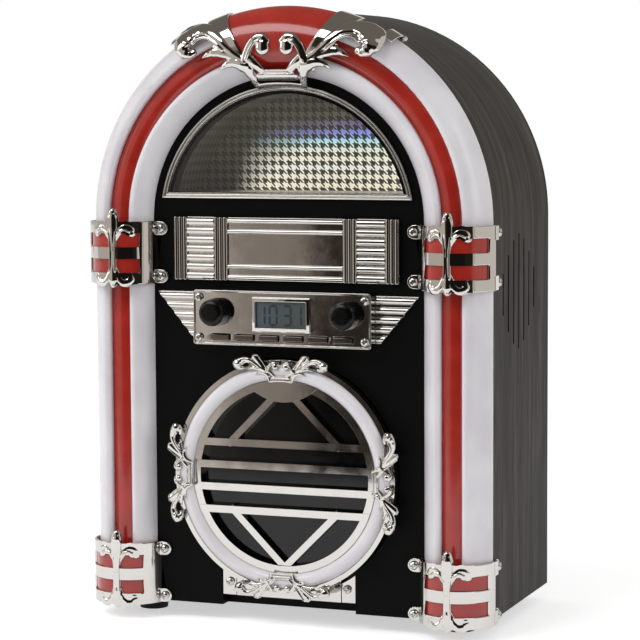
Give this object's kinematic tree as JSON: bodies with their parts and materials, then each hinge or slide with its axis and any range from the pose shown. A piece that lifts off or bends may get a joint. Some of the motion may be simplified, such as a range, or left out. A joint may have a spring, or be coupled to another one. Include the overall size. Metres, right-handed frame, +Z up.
{
  "type": "tabletop CD jukebox",
  "caption": "Arched tabletop jukebox with lit tubes, chrome trim, knobs and push buttons, and a tilting round CD door over a disc drive.",
  "frame": {"origin": "on the floor, under the middle of the object's bounding box", "axes": "+Z up, the front faces -Y, +X to the viewer's right"},
  "size_m": [0.284, 0.163, 0.406],
  "materials": {
    "wood_wrap": "dark ash-grain vinyl on board",
    "black_board": "matte black painted board",
    "black_screw": "black oxide",
    "foot_rubber": "matte",
    "milky_plastic": "translucent milky gloss",
    "red_plastic": "translucent red gloss",
    "led_strip": "white flexible strip",
    "chrome_trim": "polished plating",
    "plated_screw": "bright plated",
    "clear_window": "clear sheet",
    "prism_foil": "embossed prism foil",
    "smoked_window": "smoked sheet",
    "display_glass": "reflective segment display",
    "circuit_board": "green solder mask",
    "control_can": "satin",
    "knob_black": "polished",
    "button_grey": "plated grey",
    "pin_steel": "drawn",
    "bay_black": "fine texture",
    "deck_steel": "stamped",
    "motor_can": "zinc plated",
    "hub_black": "moulded",
    "gear_white": "natural acetal",
    "speaker_black": "paper cone and black frame",
    "socket_black": "moulded"
  },
  "bodies": {
    "cabinet": {"cabinet_shell": "wood_wrap", "base_board": "black_board", "front_baffle": "black_board", "rear_cover": "black_board", "rear_cover_screws": "black_screw", "rubber_feet": "foot_rubber", "outer_light_tube": "milky_plastic", "inner_light_tube": "milky_plastic", "red_light_strip": "red_plastic", "crown_sleeve": "red_plastic", "bracket_sleeves": "red_plastic", "outer_led_strip": "led_strip", "inner_led_strip": "led_strip", "upper_left_bracket": "chrome_trim", "upper_right_bracket": "chrome_trim", "lower_left_bracket": "chrome_trim", "lower_right_bracket": "chrome_trim", "top_crest": "chrome_trim", "window_bezel": "chrome_trim", "name_plate": "chrome_trim", "control_panel": "chrome_trim", "left_wing": "chrome_trim", "right_wing": "chrome_trim", "hinge_blocks": "chrome_trim", "trim_screws": "plated_screw", "panel_screws": "plated_screw", "window_lens": "clear_window", "foil_housing": "prism_foil", "display_module": "display_glass", "control_board": "circuit_board", "main_board": "circuit_board", "volume_control": "control_can", "tuning_control": "control_can", "hinge_pins": "pin_steel", "guide_rods": "pin_steel", "door_latch": "bay_black", "cd_bay": "bay_black", "cd_deck": "deck_steel", "spindle_motor": "motor_can", "sled_motor": "motor_can", "left_speaker": "speaker_black", "right_speaker": "speaker_black", "power_inlet": "socket_black", "line_socket": "socket_black"},
    "cd_door": {"door_frame": "chrome_trim", "door_light_ring": "milky_plastic", "door_window": "smoked_window", "door_ornaments": "chrome_trim"},
    "volume_knob": {"volume_knob": "knob_black"},
    "tuning_knob": {"tuning_knob": "knob_black"},
    "power_button": {"power_button": "button_grey"},
    "function_button": {"function_button": "button_grey"},
    "play_button": {"play_button": "button_grey"},
    "stop_button": {"stop_button": "button_grey"},
    "back_button": {"back_button": "button_grey"},
    "forward_button": {"forward_button": "button_grey"},
    "disc_hub": {"disc_hub": "hub_black"},
    "laser_sled": {"laser_sled": "hub_black"},
    "feed_gear": {"feed_gear": "gear_white"},
    "sled_motor_gear": {"sled_motor_gear": "gear_white"}
  },
  "joints": [
    {"name": "cd_door_tilt", "type": "hinge", "parent": "cabinet", "child": "cd_door", "pos_m": [0, -0.05555, 0.0224], "axis": [1, 0, 0], "range_deg": [-0.6, 40]},
    {"name": "volume_knob_turn", "type": "hinge", "parent": "cabinet", "child": "volume_knob", "pos_m": [-0.0454, -0.06955, 0.2075], "axis": [0, 1, 0], "range_deg": [-150, 150]},
    {"name": "tuning_knob_turn", "type": "hinge", "parent": "cabinet", "child": "tuning_knob", "pos_m": [0.0454, -0.06955, 0.2075], "axis": [0, 1, 0], "continuous": true},
    {"name": "power_button_press", "type": "slide", "parent": "cabinet", "child": "power_button", "axis": [0, 1, 0], "range_m": [0, 0.0012], "stiffness_N_per_m": 600, "springref_m": -0.0005},
    {"name": "function_button_press", "type": "slide", "parent": "cabinet", "child": "function_button", "axis": [0, 1, 0], "range_m": [0, 0.0012], "stiffness_N_per_m": 600, "springref_m": -0.0005},
    {"name": "play_button_press", "type": "slide", "parent": "cabinet", "child": "play_button", "axis": [0, 1, 0], "range_m": [0, 0.0012], "stiffness_N_per_m": 600, "springref_m": -0.0005},
    {"name": "stop_button_press", "type": "slide", "parent": "cabinet", "child": "stop_button", "axis": [0, 1, 0], "range_m": [0, 0.0012], "stiffness_N_per_m": 600, "springref_m": -0.0005},
    {"name": "back_button_press", "type": "slide", "parent": "cabinet", "child": "back_button", "axis": [0, 1, 0], "range_m": [0, 0.0012], "stiffness_N_per_m": 600, "springref_m": -0.0005},
    {"name": "forward_button_press", "type": "slide", "parent": "cabinet", "child": "forward_button", "axis": [0, 1, 0], "range_m": [0, 0.0012], "stiffness_N_per_m": 600, "springref_m": -0.0005},
    {"name": "disc_hub_spin", "type": "hinge", "parent": "cabinet", "child": "disc_hub", "pos_m": [0, -0.04755, 0.1001], "axis": [0, 1, 0], "continuous": true},
    {"name": "laser_sled_slide", "type": "slide", "parent": "cabinet", "child": "laser_sled", "axis": [1, 0, 0], "range_m": [0, 0.033]},
    {"name": "feed_gear_turn", "type": "hinge", "parent": "cabinet", "child": "feed_gear", "pos_m": [0.05, -0.03455, 0.071], "axis": [0, 1, 0], "range_deg": [0, 394]},
    {"name": "sled_motor_gear_turn", "type": "hinge", "parent": "cabinet", "child": "sled_motor_gear", "pos_m": [0.03908, -0.02855, 0.06306], "axis": [0, 1, 0], "range_deg": [-1734, 0]}
  ],
  "couplings": [
    {"joint": "feed_gear_turn", "follows": "laser_sled_slide", "rad_per_m": 208.33},
    {"joint": "sled_motor_gear_turn", "follows": "laser_sled_slide", "rad_per_m": -916.67}
  ]
}
